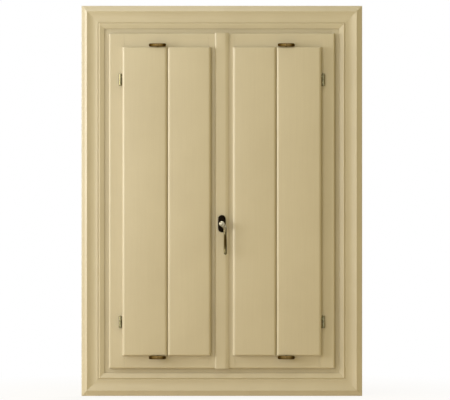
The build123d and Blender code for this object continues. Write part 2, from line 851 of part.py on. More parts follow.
def keep_plate(place, pierced):
    """A striking plate let flush into the head or the sill, pierced for the rod or whole."""
    middle = -(rack_outer + rod_inner) / 2
    z = (nose_rise - keep_thick, nose_rise)
    if place == "head":
        z = (casing_height - nose_rise, casing_height - nose_rise + keep_thick)
    side = faceplate_width / 2
    plate = block(
        (middle - keep_length / 2, middle + keep_length / 2), (gear_place - side, gear_place + side), z
    )
    if not pierced:
        return plate
    x, y = keep_slot()
    return plate - block(x, y, z)


def keep_mortise(place):
    """The plate's housing and the blind socket behind it that the rod enters."""
    x, y = keep_slot()
    z = (nose_rise - keep_depth, nose_rise)
    if place == "head":
        z = (casing_height - nose_rise, casing_height - nose_rise + keep_depth)
    return [keep_plate(place, False), block(x, y, z)]


def shutter():
    """One shutter on the right-hand side."""
    return shutter_boards() | {"shutter_ledges": shutter_ledges(), "hinge_knuckles": hinge_knuckles()}


def all_pieces():
    """Every named piece of the window."""
    pieces = casing_pieces() | frame_pieces()
    pieces["frame_seal"] = frame_seal()
    pieces["drip_flashing"] = drip_flashing()
    for place in ("head", "sill"):
        pieces[f"{place}_keep"] = keep_plate(place, True)
    brackets = pivot_brackets()
    pieces |= {"right_pivot_brackets": brackets, "left_pivot_brackets": on_left(brackets)}
    pieces |= {f"right_{name}": piece for name, piece in active_sash().items()}
    pieces |= {f"left_{name}": on_left(piece) for name, piece in passive_sash().items()}
    for name, piece in shutter().items():
        pieces |= {f"right_{name}": piece, f"left_{name}": on_left(piece)}
    for place, height in button_heights.items():
        button = turn_button(height)
        pieces |= {f"right_{place}_button": button, f"left_{place}_button": on_left(button)}
    pieces |= {"handle_lever": handle_lever(), "handle_spindle": handle_spindle()}
    pieces |= {"handle_pinion": handle_pinion(), "upper_rod": upper_rod(), "lower_rod": lower_rod()}
    return pieces


os.makedirs("parts", exist_ok=True)
for node, piece in all_pieces().items():
    export_step(piece, f"parts/{node}.step")
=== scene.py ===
import json
from math import radians

import bmesh
import bpy
import numpy as np
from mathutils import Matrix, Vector


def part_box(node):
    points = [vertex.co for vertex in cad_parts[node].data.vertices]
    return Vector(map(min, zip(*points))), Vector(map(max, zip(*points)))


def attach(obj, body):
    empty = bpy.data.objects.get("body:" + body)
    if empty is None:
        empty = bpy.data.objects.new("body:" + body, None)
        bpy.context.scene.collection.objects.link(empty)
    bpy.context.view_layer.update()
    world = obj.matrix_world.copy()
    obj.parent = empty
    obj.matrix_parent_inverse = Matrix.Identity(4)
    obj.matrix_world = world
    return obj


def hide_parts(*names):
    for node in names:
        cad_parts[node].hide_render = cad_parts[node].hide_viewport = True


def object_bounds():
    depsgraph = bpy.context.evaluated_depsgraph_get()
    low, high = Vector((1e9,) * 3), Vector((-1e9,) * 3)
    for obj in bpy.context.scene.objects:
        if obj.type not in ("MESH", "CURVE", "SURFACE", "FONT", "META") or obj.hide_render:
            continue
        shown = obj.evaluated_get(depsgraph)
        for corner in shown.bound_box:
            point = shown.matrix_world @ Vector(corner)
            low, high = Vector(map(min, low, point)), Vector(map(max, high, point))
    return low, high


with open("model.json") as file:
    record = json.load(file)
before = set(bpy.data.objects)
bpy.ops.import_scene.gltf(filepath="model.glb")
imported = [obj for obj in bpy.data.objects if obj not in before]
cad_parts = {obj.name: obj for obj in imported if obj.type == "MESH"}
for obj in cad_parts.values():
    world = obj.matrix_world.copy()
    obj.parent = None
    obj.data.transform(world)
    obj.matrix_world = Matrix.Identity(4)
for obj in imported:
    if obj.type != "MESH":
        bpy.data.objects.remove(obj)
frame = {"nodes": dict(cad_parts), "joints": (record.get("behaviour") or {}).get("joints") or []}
cad_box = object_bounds()
nodes = frame["nodes"]
mm = 0.001

# Fixed frame: two jambs, a head and a sill of glued pine, mortised and tenoned at the corners. They are
# sprayed with cream satin paint, through which the grain along each member shows faintly.
along_x = 0
along_z = 2
grain_stretch = 0.025
cloud_share = 0.7
paint_stops = [(0.36, (0.538, 0.474, 0.338)), (0.64, (0.572, 0.508, 0.366))]


def shader_node(tree, kind, inputs, **settings):
    """One node of a finish: settings are its options, inputs are numbers or the sockets that feed it."""
    node = tree.nodes.new("ShaderNode" + kind)
    for option, value in settings.items():
        setattr(node, option, value)
    for socket, value in inputs.items():
        if isinstance(value, bpy.types.NodeSocket):
            tree.links.new(value, node.inputs[socket])
        else:
            node.inputs[socket].default_value = value
    return node


def colour_ramp(tree, factor, stops):
    """Colours at places along a factor from 0 to 1, blended between them."""
    ramp = shader_node(tree, "ValToRGB", {"Fac": factor})
    elements = ramp.color_ramp.elements
    while len(elements) < len(stops):
        elements.new(0.5)
    for element, (place, colour) in zip(elements, stops):
        element.position = place
        element.color = (*colour, 1)
    return ramp.outputs["Color"]


def new_finish(name):
    """An empty material, with its node tree and its surface shader."""
    finish = bpy.data.materials.new(name)
    finish.use_nodes = True
    return finish, finish.node_tree, finish.node_tree.nodes["Principled BSDF"]


def cream_paint(name, along, arris):
    """Satin paint on wood: its tone drifts in clouds and in streaks along the grain, under a sprayed skin
    that rounds sharp edges by an arris."""
    paint, tree, shader = new_finish(name)
    spot = shader_node(tree, "TexCoord", {}).outputs["Object"]
    stretch = [1.0, 1.0, 1.0]
    stretch[along] = grain_stretch
    laid = shader_node(tree, "Mapping", {"Vector": spot, "Scale": stretch}).outputs["Vector"]
    streaks = shader_node(tree, "TexNoise", {"Vector": laid, "Scale": 240.0, "Detail": 5.0}).outputs["Fac"]
    clouds = shader_node(tree, "TexNoise", {"Vector": spot, "Scale": 5.0, "Detail": 3.0}).outputs["Fac"]
    spray = shader_node(tree, "TexNoise", {"Vector": spot, "Scale": 600.0, "Detail": 2.0}).outputs["Fac"]
    share = shader_node(tree, "Math", {0: clouds, 1: cloud_share}, operation="MULTIPLY").outputs[0]
    mix = {0: streaks, 1: 1 - cloud_share, 2: share}
    tone = shader_node(tree, "Math", mix, operation="MULTIPLY_ADD").outputs[0]
    sheen = {"Value": spray, "From Min": 0.3, "From Max": 0.7, "To Min": 0.27, "To Max": 0.36}
    gloss = shader_node(tree, "MapRange", sheen)
    eased_edge = shader_node(tree, "Bevel", {"Radius": arris}, samples=4).outputs["Normal"]
    grain = {"Height": streaks, "Strength": 0.06, "Distance": 0.3 * mm, "Normal": eased_edge}
    raised = shader_node(tree, "Bump", grain).outputs["Normal"]
    speckle = {"Height": spray, "Strength": 0.1, "Distance": 0.1 * mm, "Normal": raised}
    speckled = shader_node(tree, "Bump", speckle)
    tree.links.new(colour_ramp(tree, tone, paint_stops), shader.inputs["Base Color"])
    tree.links.new(gloss.outputs["Result"], shader.inputs["Roughness"])
    tree.links.new(speckled.outputs["Normal"], shader.inputs["Normal"])
    shader.inputs["Specular IOR Level"].default_value = 0.5
    return paint


def finish_nodes(finish, *names):
    """Gives solids of the frame their finish."""
    for name in names:
        nodes[name].data.materials.clear()
        nodes[name].data.materials.append(finish)


joinery_arris = 2.6 * mm
upright_paint = cream_paint("cream_paint_upright", along_z, joinery_arris)
level_paint = cream_paint("cream_paint_level", along_x, joinery_arris)
finish_nodes(upright_paint, "frame_jamb_left", "frame_jamb_right")
finish_nodes(level_paint, "frame_head", "frame_sill")

# Weather seal: a strip of black extruded rubber, pressed into the frame's stop so that the sashes close on
# it. It is dull, dusty and finely pitted.
rubber, tree, shader = new_finish("seal_rubber")
spot = shader_node(tree, "TexCoord", {}).outputs["Object"]
dust = shader_node(tree, "TexNoise", {"Vector": spot, "Scale": 90.0, "Detail": 4.0}).outputs["Fac"]
tree.links.new(
    colour_ramp(tree, dust, [(0.35, (0.012, 0.012, 0.012)), (0.75, (0.035, 0.034, 0.032))]),
    shader.inputs["Base Color"],
)
fine = shader_node(tree, "TexNoise", {"Vector": spot, "Scale": 1500.0}).outputs["Fac"]
pitted = shader_node(tree, "Bump", {"Height": fine, "Strength": 0.3, "Distance": 0.1 * mm})
tree.links.new(pitted.outputs["Normal"], shader.inputs["Normal"])
shader.inputs["Roughness"].default_value = 0.7
finish_nodes(rubber, "frame_seal")

# Drip flashing and glass spacers: aluminium as it left the mill. The flashing is folded from sheet and fixed
# to the sill outdoors, and the spacers are bars between the panes. Fine drawing lines run along them.
line_stretch = 0.02
stain_share = 0.55
metal_gloss_spread = (0.75, 1.3)


def drawn_metal(name, along, dark, light, rough):
    """Bare metal with fine drawing lines: noise stretched along an axis sets its tone, gloss and relief."""
    metal, tree, shader = new_finish(name)
    spot = shader_node(tree, "TexCoord", {}).outputs["Object"]
    stretch = [1.0, 1.0, 1.0]
    stretch[along] = line_stretch
    laid = shader_node(tree, "Mapping", {"Vector": spot, "Scale": stretch}).outputs["Vector"]
    scratches = shader_node(tree, "TexNoise", {"Vector": laid, "Scale": 900.0, "Detail": 4.0}).outputs["Fac"]
    stains = shader_node(tree, "TexNoise", {"Vector": spot, "Scale": 70.0, "Detail": 4.0}).outputs["Fac"]
    share = shader_node(tree, "Math", {0: stains, 1: stain_share}, operation="MULTIPLY").outputs[0]
    mix = {0: scratches, 1: 1 - stain_share, 2: share}
    tone = shader_node(tree, "Math", mix, operation="MULTIPLY_ADD").outputs[0]
    smooth, dull = (rough * part for part in metal_gloss_spread)
    sheen = {"Value": tone, "From Min": 0.35, "From Max": 0.65, "To Min": smooth, "To Max": dull}
    gloss = shader_node(tree, "MapRange", sheen)
    scored = shader_node(tree, "Bump", {"Height": scratches, "Strength": 0.15, "Distance": 0.05 * mm})
    tree.links.new(colour_ramp(tree, tone, [(0.38, dark), (0.62, light)]), shader.inputs["Base Color"])
    tree.links.new(gloss.outputs["Result"], shader.inputs["Roughness"])
    tree.links.new(scored.outputs["Normal"], shader.inputs["Normal"])
    shader.inputs["Metallic"].default_value = 1.0
    return metal


sheet_aluminium = drawn_metal("mill_aluminium", along_x, (0.5, 0.5, 0.5), (0.66, 0.66, 0.65), rough=0.35)
spacer_aluminium = drawn_metal("spacer_bar", along_z, (0.3, 0.31, 0.32), (0.42, 0.43, 0.44), rough=0.5)
finish_nodes(sheet_aluminium, "drip_flashing")
finish_nodes(spacer_aluminium, "left_glass_spacer", "right_glass_spacer")

# Keeps, pivot brackets, gear, lock rods and the handle's hidden parts: stampings and bars of zinc-plated
# steel, screwed to the wood or let into it.
zinc_steel = drawn_metal("zinc_steel", along_z, (0.46, 0.45, 0.42), (0.58, 0.57, 0.53), rough=0.36)
finish_nodes(zinc_steel, "head_keep", "sill_keep", "left_pivot_brackets", "right_pivot_brackets")
finish_nodes(zinc_steel, "right_gear_case", "right_gear_faceplate", "upper_rod", "lower_rod")
finish_nodes(zinc_steel, "handle_spindle", "handle_pinion", "right_rosette_base")

# Pivot bushes: moulded sleeves of black bearing plastic, pressed into the sash's lip. The brackets' pins
# turn in them.
bearing, tree, shader = new_finish("bush_plastic")
spot = shader_node(tree, "TexCoord", {}).outputs["Object"]
mould = shader_node(tree, "TexNoise", {"Vector": spot, "Scale": 500.0, "Detail": 3.0}).outputs["Fac"]
tree.links.new(
    colour_ramp(tree, mould, [(0.3, (0.03, 0.03, 0.03)), (0.7, (0.05, 0.05, 0.05))]),
    shader.inputs["Base Color"],
)
shader.inputs["Roughness"].default_value = 0.45
finish_nodes(bearing, "left_pivot_bushes", "right_pivot_bushes")

# Casing: four lengths of pine moulding, mitred at the corners and pinned over the joint between frame and
# wall. Across its face run a hollow bevel, a wide cove, a quirk and a sloping bead, and its back has a
# relief groove.
casing_low, casing_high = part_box("casing_bottom")
casing_width = casing_high.x - casing_low.x
casing_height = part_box("casing_top")[1].z
casing_face = casing_high.z - casing_low.z
casing_thick = casing_high.y - casing_low.y
casing_relief = np.array([(0.0, 38.0), (-2.0, 38.0), (-2.0, 34.0), (0.0, 34.0)]) * mm
casing_arrises = np.array([1.2, 40.0, 1.4]) * mm
bead_arris = 0.5 * mm
bevel_shares = np.array([(0.0, 0.0), (0.0, 0.34), (0.14, 0.66), (0.236, 1.0)])
cove_shares = np.array([(0.247, 0.99), (0.463, 0.59), (0.715, 0.63)])
quirk_shares = np.array([(0.722, 0.47), (0.748, 0.47)])
bead_shares = np.array([(0.787, 0.74), (0.805, 0.74), (1.0, 0.43), (1.0, 0.0)])
weld_distance = 0.002 * mm


def eased(corners, radii, steps=6, closed=True):
    """Rounds an outline's corners: each arc's centre lies on the corner's bisector, radius over the sine of
    the half angle away, and the arc turns evenly from one tangent point to the other."""
    points = np.asarray(corners, float)
    chain = np.concatenate([points[-1:], points, points[:1]]) if closed else points
    inner = chain[1:-1]
    size = np.broadcast_to(np.asarray(radii, float), len(inner))[:, None]
    back = chain[:-2] - inner
    ahead = chain[2:] - inner
    back /= np.linalg.norm(back, axis=1, keepdims=True)
    ahead /= np.linalg.norm(ahead, axis=1, keepdims=True)
    half = np.arccos(np.clip((back * ahead).sum(1, keepdims=True), -1, 1)) / 2
    bisector = (back + ahead) / np.linalg.norm(back + ahead, axis=1, keepdims=True)
    centre = inner + bisector * size / np.sin(half)
    first = inner + back * size / np.tan(half) - centre
    last = inner + ahead * size / np.tan(half) - centre
    turn = (np.pi - 2 * half)[:, None]
    part = np.linspace(0, 1, steps)[None, :, None]
    swing = first[:, None] * np.sin((1 - part) * turn) + last[:, None] * np.sin(part * turn)
    arcs = (centre[:, None] + swing / np.sin(turn)).reshape(-1, 2)
    return arcs if closed else np.concatenate([chain[:1], arcs, chain[-1:]])


def skin(name, shells, crease=40):
    """Closed shells over stacks of rings: a shell is an array (stations, points round, 3), whose quads join
    each ring to the next, and a flat cap closes each end."""
    mesh = bpy.data.meshes.new(name)
    points = np.concatenate([shell.reshape(-1, 3) for shell in shells])
    faces = []
    start = 0
    for shell in shells:
        stations, around = shell.shape[:2]
        index = start + np.arange(stations * around).reshape(stations, around)
        near, far = index[:-1], index[1:]
        quads = np.stack([near, np.roll(near, -1, 1), np.roll(far, -1, 1), far], -1)
        faces += quads.reshape(-1, 4).tolist() + [index[0][::-1].tolist(), index[-1].tolist()]
        start += stations * around
    mesh.from_pydata(points.tolist(), [], faces)
    shape = bmesh.new()
    shape.from_mesh(mesh)
    bmesh.ops.remove_doubles(shape, verts=shape.verts, dist=weld_distance)
    bmesh.ops.recalc_face_normals(shape, faces=shape.faces)
    shape.to_mesh(mesh)
    shape.free()
    mesh.shade_smooth()
    mesh.set_sharp_from_angle(angle=radians(crease))
    piece = bpy.data.objects.new(name, mesh)
    bpy.context.scene.collection.objects.link(piece)
    return piece


def dress(piece, body, slot, finish, *replaced):
    """Gives a new piece its finish and its body, and hides the solids that it stands for. Its slot argument
    is not used.
    """
    piece.data.materials.append(finish)
    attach(piece, body)
    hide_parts(*replaced)


def casing_outline():
    """The moulding's section as (depth, inward) points: a bevel, a parabola through three cove points, a
    quirk, a bead and the relieved back, with eased arrises."""
    face = (casing_face, -casing_thick)
    cove = cove_shares * face
    bevel = np.concatenate([bevel_shares * face, cove[:1]])[:, ::-1]
    inward = np.linspace(cove[0, 0], cove[2, 0], 16)
    hollow = np.stack([np.polyval(np.polyfit(cove[:, 0], cove[:, 1], 2), inward), inward], 1)
    bead = (np.concatenate([quirk_shares, bead_shares]) * face)[:, ::-1]
    chain = np.concatenate([hollow[-1:], bead, casing_relief, casing_relief[-1:] / 2])
    return np.concatenate(
        [eased(bevel, casing_arrises, closed=False), hollow[1:-1], eased(chain, bead_arris, closed=False)]
    )


def mitred_length(outline, side):
    """Two rings of the outline at a length's mitred ends, whose points stand in from the corner by as much as
    they lie inward."""
    depth, inward = outline.T
    upright = side in ("left", "right")
    half = (casing_height if upright else casing_width) / 2
    run = np.stack([inward - half, half - inward])
    across = np.stack([inward, inward])
    deep = np.stack([depth, depth])
    if side == "bottom":
        return np.stack([run, deep, across], -1)
    if side == "top":
        return np.stack([run, deep, casing_height - across], -1)
    edge = casing_width / 2 - across
    return np.stack([edge if side == "right" else -edge, deep, run + casing_height / 2], -1)


moulded_arris = 0.4 * mm
upright_moulding_paint = cream_paint("cream_paint_upright_moulding", along_z, moulded_arris)
level_moulding_paint = cream_paint("cream_paint_level_moulding", along_x, moulded_arris)
for side in ("bottom", "top", "left", "right"):
    finish = level_moulding_paint if side in ("bottom", "top") else upright_moulding_paint
    length = skin(f"casing_moulding_{side}", [mitred_length(casing_outline(), side)], crease=30)
    dress(length, "frame", "cream_paint", finish, f"casing_{side}")

# Sashes: stiles and rails of pine with a lip that laps the frame, tenoned and painted like the frame. Fine
# lines show where rails meet stiles. Beads hold the glass, and a strip covers the meeting joint outdoors.
for hand in ("left", "right"):
    finish_nodes(upright_paint, f"{hand}_hinge_stile", f"{hand}_meeting_stile")
    finish_nodes(level_paint, f"{hand}_top_rail", f"{hand}_bottom_rail", f"{hand}_glazing_beads")
finish_nodes(upright_paint, "left_cover_strip")

# Glass: each sash has two panes of clear float glass, faintly green and rippled. They are sealed to the
# spacer between them and set in the sash's rebate.
float_glass, tree, shader = new_finish("clear_glass")
spot = shader_node(tree, "TexCoord", {}).outputs["Object"]
ripple = shader_node(tree, "TexNoise", {"Vector": spot, "Scale": 6.0, "Detail": 1.0}).outputs["Fac"]
tree.links.new(
    colour_ramp(tree, ripple, [(0.3, (0.93, 0.97, 0.95)), (0.7, (0.95, 0.98, 0.965))]),
    shader.inputs["Base Color"],
)
waved = shader_node(tree, "Bump", {"Height": ripple, "Strength": 0.02, "Distance": 1 * mm})
tree.links.new(waved.outputs["Normal"], shader.inputs["Normal"])
shader.inputs["Roughness"].default_value = 0.0
shader.inputs["IOR"].default_value = 1.5
shader.inputs["Transmission Weight"].default_value = 1.0
finish_nodes(float_glass, "left_glass_panes", "right_glass_panes")

# Astragal: a strip of pine glued to the right sash to lap the meeting joint, with a rounded left arris and a
# sloping right side.
astragal_low, astragal_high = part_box("right_astragal")
joint_edge = -16 * mm
joint_room = 1 * mm
astragal_slope = np.array([12, 4]) * mm
astragal_radii = np.array([7, 20, 2.5, 0.6, 0.2, 0.2, 0.6]) * mm


def upright_strip(outline, low, high):
    """Two rings of an (x, y) outline, at a strip's foot and head."""
    ring = np.column_stack([outline, np.zeros(len(outline))])
    return np.stack([ring + (0, 0, low), ring + (0, 0, high)])


astragal_corners = [
    (astragal_low.x, astragal_low.y),
    (astragal_high.x - astragal_slope[0], astragal_low.y),
    (astragal_high.x, astragal_low.y + astragal_slope[1]),
    (astragal_high.x, astragal_high.y),
    (joint_edge, astragal_high.y),
    (joint_edge, astragal_high.y - joint_room),
    (astragal_low.x, astragal_high.y - joint_room),
]
astragal_outline = eased(astragal_corners, astragal_radii, steps=10)
strip = skin("astragal_strip", [upright_strip(astragal_outline, astragal_low.z, astragal_high.z)])
dress(strip, "right_sash", "cream_paint", upright_moulding_paint, "right_astragal")

# Shutters: each has two tongued and grooved pine boards with well rounded edges, which leave a V at their
# joint, screwed to three bevelled ledges behind. Boards and ledges have the same paint as the sashes.
board_round = 11 * mm
board_end_round = 5 * mm
board_arris = 1 * mm
tongue_arris = 0.3 * mm
tongue_thick = 7 * mm
tongue_room = 0.2 * mm


def rounded_board(corners, radii, hand, low, high):
    """Rings of a board's (x, y) outline up its length: near each end the front draws back along a quarter
    round, so a point's depth is the larger of the outline's and the drawn-back front's."""
    outline = eased(corners, radii, steps=10) * (hand, 1)
    turn = np.linspace(0, np.pi / 2, 8)
    rise = board_end_round * (1 - np.cos(turn))
    drawn = board_end_round * (1 - np.sin(turn))
    heights = np.concatenate([low.z + rise, (high.z - rise)[::-1]])
    fronts = low.y + np.concatenate([drawn, drawn[::-1]])
    depth = np.maximum(outline[None, :, 1], fronts[:, None])
    width = np.broadcast_to(outline[None, :, 0], depth.shape)
    return np.stack([width, depth, np.broadcast_to(heights[:, None], depth.shape)], -1)


def board_corners(left, right, low, high, joint, edge):
    """A board's corners, with a tongue or a groove of the given reach on the side of the joint."""
    deep = (low.y + high.y) / 2 + board_round / 2
    spare = tongue_room if joint < 0 else 0
    front, back = deep - tongue_thick / 2 - spare, deep + tongue_thick / 2 + spare
    tip = edge + abs(joint) + spare
    step = [(edge, front), (tip, front), (tip, back), (edge, back)]
    step_radii = [tongue_arris] * 4
    if joint > 0:
        corners = [(left, low.y), (right, low.y), *step, (right, high.y), (left, high.y)]
        return corners, [board_round, board_round, *step_radii, board_arris, board_arris]
    corners = [(right, low.y), (right, high.y), (left, high.y), *step[::-1], (left, low.y)]
    return corners, [board_round, board_arris, board_arris, *step_radii, board_round]


inner_low, inner_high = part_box("right_inner_board")
outer_low, outer_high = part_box("right_outer_board")
board_joint = outer_low.x
tongue = inner_high.x - board_joint
inner_corners = board_corners(inner_low.x, board_joint, inner_low, inner_high, tongue, board_joint)
outer_corners = board_corners(board_joint, outer_high.x, outer_low, outer_high, -tongue, board_joint)
for hand, sign in (("left", -1), ("right", 1)):
    for place, (corners, radii), low, high in (
        ("inner", inner_corners, inner_low, inner_high), ("outer", outer_corners, outer_low, outer_high)
    ):
        board = skin(f"{hand}_{place}_shutter_board", [rounded_board(corners, radii, sign, low, high)])
        dress(board, f"{hand}_shutter", "cream_paint", upright_moulding_paint, f"{hand}_{place}_board")
    finish_nodes(level_paint, f"{hand}_shutter_ledges")

# Shutter hinges: turned steel barrels in two halves on a pin, with a dull yellow zinc plating. A stud from
# the lower half screws into the stile, and one from the upper half into the shutter's edge.
along_y = 1
hinge_radius = 5.5 * mm
hinge_half = 22 * mm
hinge_split = 0.3 * mm
hinge_dome = 2.2 * mm
hinge_arris = 0.5 * mm
hinge_tip_radius = 0.4 * mm
hinge_stud_radius = 3.5 * mm
axis_radius = 0.2 * mm
joint_places = {joint["name"]: joint.get("pos_m") for joint in frame["joints"]}
hinge_steel = drawn_metal("hinge_steel", along_z, (0.125, 0.107, 0.048), (0.285, 0.25, 0.137), rough=0.22)


def turned(centre, axis, profile, around=40):
    """Circles along one axis: a profile row gives a place along the axis and the circle's radius there."""
    places, radii = np.asarray(profile, float).T
    angle = np.linspace(0, 2 * np.pi, around, endpoint=False)
    rings = np.empty((len(places), around, 3))
    across, up = (axis + 1) % 3, (axis + 2) % 3
    rings[..., axis] = centre[axis] + places[:, None]
    rings[..., across] = centre[across] + radii[:, None] * np.cos(angle)
    rings[..., up] = centre[up] + radii[:, None] * np.sin(angle)
    return rings


def hinge_barrel(start, stop):
    """A barrel's profile between two places: a small arris at the split and a domed outer end."""
    corners = [(start, 0), (start, hinge_radius), (stop, hinge_radius), (stop, hinge_tip_radius)]
    barrel = eased(corners, [hinge_arris, hinge_dome], steps=8, closed=False)
    return barrel if stop > start else barrel[::-1]


for hand, sign in (("left", -1), ("right", 1)):
    hinge_x, hinge_y, _ = joint_places[f"{hand}_shutter_swing"]
    foot_low, foot_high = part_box(f"{hand}_hinge_pins")
    head_low, head_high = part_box(f"{hand}_hinge_knuckles")
    heights = (foot_low.z + hinge_half, head_high.z - hinge_half)
    lower_halves = []
    upper_halves = []
    for height in heights:
        centre = (hinge_x, hinge_y, height)
        lower_halves.append(turned(centre, along_z, hinge_barrel(0, -hinge_half)))
        upper_halves.append(turned(centre, along_z, hinge_barrel(hinge_split, hinge_half)))
        deep = foot_high.y - hinge_y
        low_stud = [(0, 0), (0, hinge_stud_radius), (deep, hinge_stud_radius), (deep, 0)]
        low_stud = eased(low_stud, hinge_arris, closed=False)
        low_place = (hinge_x, hinge_y, height - hinge_half / 2)
        lower_halves.append(turned(low_place, along_y, low_stud, around=28))
        reach = (head_low.x if sign > 0 else head_high.x) - hinge_x
        high_stud = [(0, axis_radius), (0, hinge_stud_radius)]
        high_stud += [(reach, hinge_stud_radius), (reach, axis_radius)]
        high_place = (hinge_x, hinge_y, height + hinge_half / 2)
        upper_halves.append(turned(high_place, along_x, high_stud, around=28))
    lower = skin(f"{hand}_hinge_lower_halves", lower_halves)
    upper = skin(f"{hand}_hinge_upper_halves", upper_halves)
    dress(lower, f"{hand}_sash", "zinc_steel", hinge_steel, f"{hand}_hinge_pins")
    dress(upper, f"{hand}_shutter", "zinc_steel", hinge_steel, f"{hand}_hinge_knuckles")

# Turn buttons: cast bronze bars, crowned and painted lighter in the middle as a highlight and darker towards
# the ends, which turn on a slotted screw in a turned post. Upright, they hold the shutter shut, and level, as
# here, they let it open.
post_radius = 5.5 * mm
post_foot_radius = 6.5 * mm
post_foot = 3 * mm
post_arris = 0.4 * mm
screw_head_radius = 4.6 * mm
screw_head = 2.4 * mm
screw_slot = 1.1 * mm
screw_slot_depth = 1 * mm
screw_side_share = 0.35
bar_side_share = 0.45
bar_corner_power = 0.36
crown_power = 2.6
patina_share = 0.4
bronze_gloss_spread = (1.3, 0.8)
# Painted highlight: each bar is lighter in the middle and darker towards its ends.
button_highlight_stops = [(0.25, (0.15, 0.095, 0.031)), (0.5, (0.115, 0.07, 0.018)), (0.72, (0.034, 0.016, 0.0015))]


def aged_bronze(name, stops, wear_and_sheen, rough):
    """Cast bronze: a factor from 0 to 1 picks its colour from the stops, under clouds of patina; on the lever
    and the buttons this factor paints highlights and sheen.
    """
    bronze, tree, shader = new_finish(name)
    spot = shader_node(tree, "TexCoord", {}).outputs["Object"]
    patina = shader_node(tree, "TexNoise", {"Vector": spot, "Scale": 160.0, "Detail": 6.0}).outputs["Fac"]
    grit = shader_node(tree, "TexNoise", {"Vector": spot, "Scale": 1400.0, "Detail": 2.0}).outputs["Fac"]
    dull, smooth = (rough * part for part in bronze_gloss_spread)
    sheen = {"Value": patina, "From Min": 0.3, "From Max": 0.7, "To Min": dull, "To Max": smooth}
    gloss = shader_node(tree, "MapRange", sheen)
    pitted = shader_node(tree, "Bump", {"Height": grit, "Strength": 0.15, "Distance": 0.1 * mm})
    drift = {0: patina, 1: patina_share, 2: -patina_share / 2}
    cloud = shader_node(tree, "Math", drift, operation="MULTIPLY_ADD").outputs[0]
    tone = shader_node(tree, "Math", {0: wear_and_sheen(tree, spot), 1: cloud}, operation="ADD").outputs[0]
    tree.links.new(colour_ramp(tree, tone, stops), shader.inputs["Base Color"])
    tree.links.new(gloss.outputs["Result"], shader.inputs["Roughness"])
    tree.links.new(pitted.outputs["Normal"], shader.inputs["Normal"])
    shader.inputs["Metallic"].default_value = 1.0
    return bronze


def along_button(tree, spot):
    """The distance from a button's pivot along its bar, as a share of half its length."""
    across = shader_node(tree, "SeparateXYZ", {"Vector": spot}).outputs["X"]
    out = shader_node(tree, "Math", {0: across}, operation="ABSOLUTE").outputs[0]
    off = shader_node(tree, "Math", {0: out, 1: button_place}, operation="SUBTRACT").outputs[0]
    away = shader_node(tree, "Math", {0: off}, operation="ABSOLUTE").outputs[0]
    return shader_node(tree, "Math", {0: away, 1: button_half}, operation="DIVIDE").outputs[0]


button_low, button_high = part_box("right_upper_button")
button_place = (button_low.x + button_high.x) / 2
button_half = (button_high.x - button_low.x) / 2
button_bronze = aged_bronze("brown_bronze", button_highlight_stops, along_button, rough=0.38)


def crowned_bar(centre, back, front, half_length, half_width):
    """A bar's skin over rings that shrink from its rim to its middle: each is a superellipse, and the crown
    rises as one less a power of the ring's size."""
    angle = np.linspace(0, 2 * np.pi, 72, endpoint=False)
    size = np.concatenate([[1, 1], np.cos(np.linspace(0, np.pi / 2, 14))])
    rise = np.concatenate([[0], bar_side_share + (1 - bar_side_share) * (1 - size[1:] ** crown_power)])
    across = half_length * np.sign(np.cos(angle)) * np.abs(np.cos(angle)) ** bar_corner_power
    up = half_width * np.sign(np.sin(angle)) * np.abs(np.sin(angle)) ** bar_corner_power
    rings = np.empty((len(size), len(angle), 3))
    rings[..., 0] = centre[0] + size[:, None] * across
    rings[..., 1] = back + (front - back) * rise[:, None]
    rings[..., 2] = centre[2] + size[:, None] * up
    return rings


def slotted_head(centre, under, top):
    """A domed screw head: rings shrink to the middle, and a straight slot is pressed across the dome."""
    angle = np.linspace(0, 2 * np.pi, 64, endpoint=False)
    turn = np.linspace(0, np.pi / 2, 18)
    size = np.concatenate([[1], np.cos(turn)])
    rise = np.concatenate([[0], screw_side_share + (1 - screw_side_share) * np.sin(turn)])
    rings = np.empty((len(size), len(angle), 3))
    rings[..., 0] = centre[0] + screw_head_radius * size[:, None] * np.cos(angle)
    rings[..., 2] = centre[2] + screw_head_radius * size[:, None] * np.sin(angle)
    rings[..., 1] = under + (top - under) * rise[:, None]
    in_slot = np.abs(rings[..., 2] - centre[2]) < screw_slot / 2
    rings[1:, :, 1] += screw_slot_depth * in_slot[1:]
    return rings


sash_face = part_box("right_top_rail")[0].y
for hand in ("left", "right"):
    posts = []
    heads = []
    post_low, post_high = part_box(f"{hand}_button_posts")
    head_low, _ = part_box(f"{hand}_button_screws")
    for place in ("upper", "lower"):
        node = f"{hand}_{place}_button"
        centre = joint_places[f"{node}_turn"]
        low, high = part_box(node)
        bar = crowned_bar(centre, high.y, low.y, (high.x - low.x) / 2, (high.z - low.z) / 2)
        dress(skin(f"{node}_bar", [bar]), node, "brown_bronze", button_bronze, node)
        profile = [
            (post_high.y, axis_radius), (post_high.y, post_radius), (sash_face, post_radius),
            (sash_face, post_foot_radius), (sash_face - post_foot, post_foot_radius),
            (sash_face - post_foot, post_radius), (post_low.y, post_radius), (post_low.y, axis_radius),
        ]
        profile = eased(profile, post_arris, steps=4, closed=False)
        posts.append(turned((centre[0], 0, centre[2]), along_y, profile))
        heads.append(slotted_head(centre, head_low.y + screw_head, head_low.y))
    posts = skin(f"{hand}_turned_posts", posts)
    dress(posts, f"{hand}_sash", "brown_bronze", button_bronze, f"{hand}_button_posts")
    heads = skin(f"{hand}_slotted_screws", heads)
    dress(heads, f"{hand}_sash", "brown_bronze", button_bronze, f"{hand}_button_screws")
